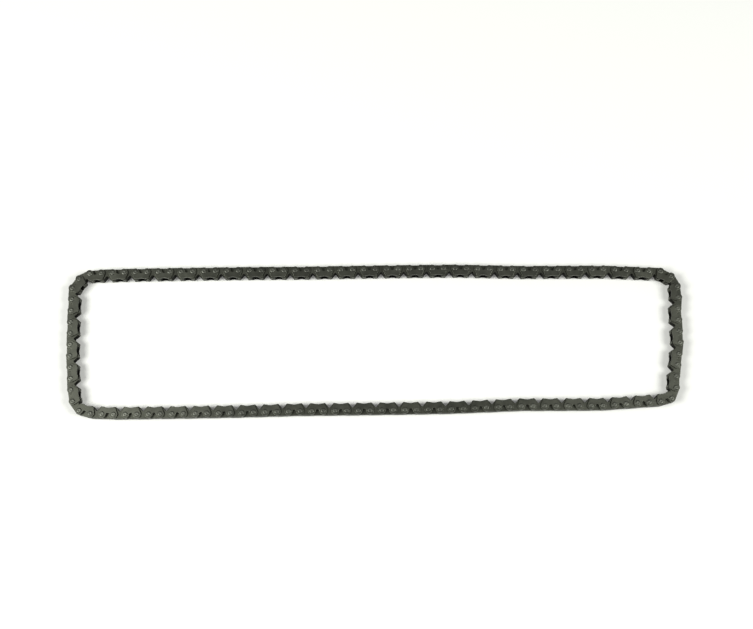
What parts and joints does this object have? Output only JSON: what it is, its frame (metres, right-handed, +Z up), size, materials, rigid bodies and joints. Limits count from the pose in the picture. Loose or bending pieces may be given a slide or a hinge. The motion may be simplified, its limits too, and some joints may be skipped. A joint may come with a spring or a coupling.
{
  "type": "inverted-tooth timing chain",
  "caption": "Endless inverted-tooth timing chain with outside guide plates and riveted pins, lying on its side as a long rounded loop with its teeth inwards.",
  "frame": {"origin": "centre of the bounding box, on the plane that the lower pin heads rest on", "axes": "+X along the long runs of the loop, +Y across it from the lower run to the upper one, +Z up along the pins"},
  "size_m": [0.3404, 0.0864, 0.008],
  "materials": {
    "guide_steel": "satin",
    "tooth_steel": "satin",
    "pin_steel": "polished"
  },
  "bodies": {
    "section_01": {"guide_plates_01": "guide_steel", "toothed_plates_01": "tooth_steel", "pins_01": "pin_steel"},
    "single_01": {"single_link_01": "tooth_steel"},
    "section_02": {"guide_plates_02": "guide_steel", "toothed_plates_02": "tooth_steel", "pins_02": "pin_steel"},
    "single_02": {"single_link_02": "tooth_steel"},
    "section_03": {"guide_plates_03": "guide_steel", "toothed_plates_03": "tooth_steel", "pins_03": "pin_steel"},
    "single_03": {"single_link_03": "tooth_steel"},
    "section_04": {"guide_plates_04": "guide_steel", "toothed_plates_04": "tooth_steel", "pins_04": "pin_steel"},
    "single_04": {"single_link_04": "tooth_steel"},
    "section_05": {"guide_plates_05": "guide_steel", "toothed_plates_05": "tooth_steel", "pins_05": "pin_steel"},
    "section_06": {"guide_plates_06": "guide_steel", "toothed_plates_06": "tooth_steel", "pins_06": "pin_steel"},
    "section_07": {"guide_plates_07": "guide_steel", "toothed_plates_07": "tooth_steel", "pins_07": "pin_steel"},
    "section_08": {"guide_plates_08": "guide_steel", "toothed_plates_08": "tooth_steel", "pins_08": "pin_steel"},
    "section_09": {"guide_plates_09": "guide_steel", "toothed_plates_09": "tooth_steel", "pins_09": "pin_steel"},
    "section_10": {"guide_plates_10": "guide_steel", "toothed_plates_10": "tooth_steel", "pins_10": "pin_steel"},
    "section_11": {"guide_plates_11": "guide_steel", "toothed_plates_11": "tooth_steel", "pins_11": "pin_steel"},
    "single_05": {"single_link_05": "tooth_steel"},
    "section_12": {"guide_plates_12": "guide_steel", "toothed_plates_12": "tooth_steel", "pins_12": "pin_steel"},
    "single_06": {"single_link_06": "tooth_steel"},
    "section_13": {"guide_plates_13": "guide_steel", "toothed_plates_13": "tooth_steel", "pins_13": "pin_steel"},
    "single_07": {"single_link_07": "tooth_steel"},
    "section_14": {"guide_plates_14": "guide_steel", "toothed_plates_14": "tooth_steel", "pins_14": "pin_steel"},
    "single_08": {"single_link_08": "tooth_steel"},
    "section_15": {"guide_plates_15": "guide_steel", "toothed_plates_15": "tooth_steel", "pins_15": "pin_steel"},
    "section_16": {"guide_plates_16": "guide_steel", "toothed_plates_16": "tooth_steel", "pins_16": "pin_steel"}
  },
  "joints": [
    {"name": "side_run_bend_1", "type": "hinge", "parent": "section_15", "child": "section_16", "pos_m": [-0.16761, -0.0085, 0.004], "axis": [0, 0, 1], "range_deg": [-25, 25]},
    {"name": "side_run_bend_2", "type": "hinge", "parent": "section_16", "child": "section_01", "pos_m": [-0.168, 0.01054, 0.004], "axis": [0, 0, 1], "range_deg": [-25, 25]},
    {"name": "left_run_bend_1", "type": "hinge", "parent": "section_01", "child": "single_01", "pos_m": [-0.13966, 0.03852, 0.004], "axis": [0, 0, 1], "range_deg": [-25, 25]},
    {"name": "left_run_bend_2", "type": "hinge", "parent": "single_01", "child": "section_02", "pos_m": [-0.13331, 0.03864, 0.004], "axis": [0, 0, 1], "range_deg": [-25, 25]},
    {"name": "left_run_bend_3", "type": "hinge", "parent": "section_02", "child": "single_02", "pos_m": [-0.07617, 0.03954, 0.004], "axis": [0, 0, 1], "range_deg": [-25, 25]},
    {"name": "left_run_bend_4", "type": "hinge", "parent": "single_02", "child": "section_03", "pos_m": [-0.06982, 0.03961, 0.004], "axis": [0, 0, 1], "range_deg": [-25, 25]},
    {"name": "middle_run_bend_1", "type": "hinge", "parent": "section_03", "child": "single_03", "pos_m": [-0.03807, 0.03984, 0.004], "axis": [0, 0, 1], "range_deg": [-25, 25]},
    {"name": "middle_run_bend_2", "type": "hinge", "parent": "single_03", "child": "section_04", "pos_m": [-0.03172, 0.03996, 0.004], "axis": [0, 0, 1], "range_deg": [-25, 25]},
    {"name": "middle_run_bend_3", "type": "hinge", "parent": "section_04", "child": "single_04", "pos_m": [0.03813, 0.04093, 0.004], "axis": [0, 0, 1], "range_deg": [-25, 25]},
    {"name": "middle_run_bend_4", "type": "hinge", "parent": "single_04", "child": "section_05", "pos_m": [0.04448, 0.04099, 0.004], "axis": [0, 0, 1], "range_deg": [-25, 25]},
    {"name": "right_run_bend_1", "type": "hinge", "parent": "section_05", "child": "section_06", "pos_m": [0.08257, 0.04019, 0.004], "axis": [0, 0, 1], "range_deg": [-30, 30]},
    {"name": "right_run_bend_2", "type": "hinge", "parent": "section_06", "child": "section_07", "pos_m": [0.12702, 0.04042, 0.004], "axis": [0, 0, 1], "range_deg": [-30, 30]},
    {"name": "side_run_bend_3", "type": "hinge", "parent": "section_07", "child": "section_08", "pos_m": [0.16737, 0.01808, 0.004], "axis": [0, 0, 1], "range_deg": [-25, 25]},
    {"name": "left_run_bend_5", "type": "hinge", "parent": "section_15", "child": "single_08", "pos_m": [-0.14236, -0.04099, 0.004], "axis": [0, 0, 1], "range_deg": [-25, 25]},
    {"name": "left_run_bend_6", "type": "hinge", "parent": "single_08", "child": "section_14", "pos_m": [-0.13601, -0.04092, 0.004], "axis": [0, 0, 1], "range_deg": [-25, 25]},
    {"name": "left_run_bend_7", "type": "hinge", "parent": "section_14", "child": "single_07", "pos_m": [-0.07887, -0.04002, 0.004], "axis": [0, 0, 1], "range_deg": [-25, 25]},
    {"name": "left_run_bend_8", "type": "hinge", "parent": "single_07", "child": "section_13", "pos_m": [-0.07252, -0.03989, 0.004], "axis": [0, 0, 1], "range_deg": [-25, 25]},
    {"name": "middle_run_bend_5", "type": "hinge", "parent": "section_13", "child": "single_06", "pos_m": [-0.04078, -0.03901, 0.004], "axis": [0, 0, 1], "range_deg": [-25, 25]},
    {"name": "middle_run_bend_6", "type": "hinge", "parent": "single_06", "child": "section_12", "pos_m": [-0.03443, -0.03895, 0.004], "axis": [0, 0, 1], "range_deg": [-25, 25]},
    {"name": "middle_run_bend_7", "type": "hinge", "parent": "section_12", "child": "single_05", "pos_m": [0.03541, -0.03797, 0.004], "axis": [0, 0, 1], "range_deg": [-25, 25]},
    {"name": "middle_run_bend_8", "type": "hinge", "parent": "single_05", "child": "section_11", "pos_m": [0.04176, -0.03785, 0.004], "axis": [0, 0, 1], "range_deg": [-25, 25]},
    {"name": "right_run_bend_3", "type": "hinge", "parent": "section_11", "child": "section_10", "pos_m": [0.07983, -0.03626, 0.004], "axis": [0, 0, 1], "range_deg": [-30, 30]},
    {"name": "right_run_bend_4", "type": "hinge", "parent": "section_10", "child": "section_09", "pos_m": [0.12428, -0.03602, 0.004], "axis": [0, 0, 1], "range_deg": [-30, 30]}
  ],
  "couplings": [
    {"joint": "side_run_bend_2", "follows": "side_run_bend_1", "ratio": -1},
    {"joint": "left_run_bend_1", "follows": "left_run_bend_5", "ratio": 1},
    {"joint": "left_run_bend_2", "follows": "left_run_bend_5", "ratio": 1},
    {"joint": "left_run_bend_3", "follows": "left_run_bend_5", "ratio": -1},
    {"joint": "left_run_bend_4", "follows": "left_run_bend_5", "ratio": -1},
    {"joint": "middle_run_bend_2", "follows": "middle_run_bend_1", "ratio": 1},
    {"joint": "middle_run_bend_3", "follows": "middle_run_bend_1", "ratio": -1},
    {"joint": "middle_run_bend_4", "follows": "middle_run_bend_1", "ratio": -1},
    {"joint": "right_run_bend_2", "follows": "right_run_bend_1", "ratio": -1},
    {"joint": "side_run_bend_3", "follows": "side_run_bend_1", "ratio": 1},
    {"joint": "left_run_bend_6", "follows": "left_run_bend_5", "ratio": 1},
    {"joint": "left_run_bend_7", "follows": "left_run_bend_5", "ratio": -1},
    {"joint": "left_run_bend_8", "follows": "left_run_bend_5", "ratio": -1},
    {"joint": "middle_run_bend_5", "follows": "middle_run_bend_1", "ratio": 1},
    {"joint": "middle_run_bend_6", "follows": "middle_run_bend_1", "ratio": 1},
    {"joint": "middle_run_bend_7", "follows": "middle_run_bend_1", "ratio": -1},
    {"joint": "middle_run_bend_8", "follows": "middle_run_bend_1", "ratio": -1},
    {"joint": "right_run_bend_3", "follows": "right_run_bend_1", "ratio": 1},
    {"joint": "right_run_bend_4", "follows": "right_run_bend_1", "ratio": -1}
  ]
}
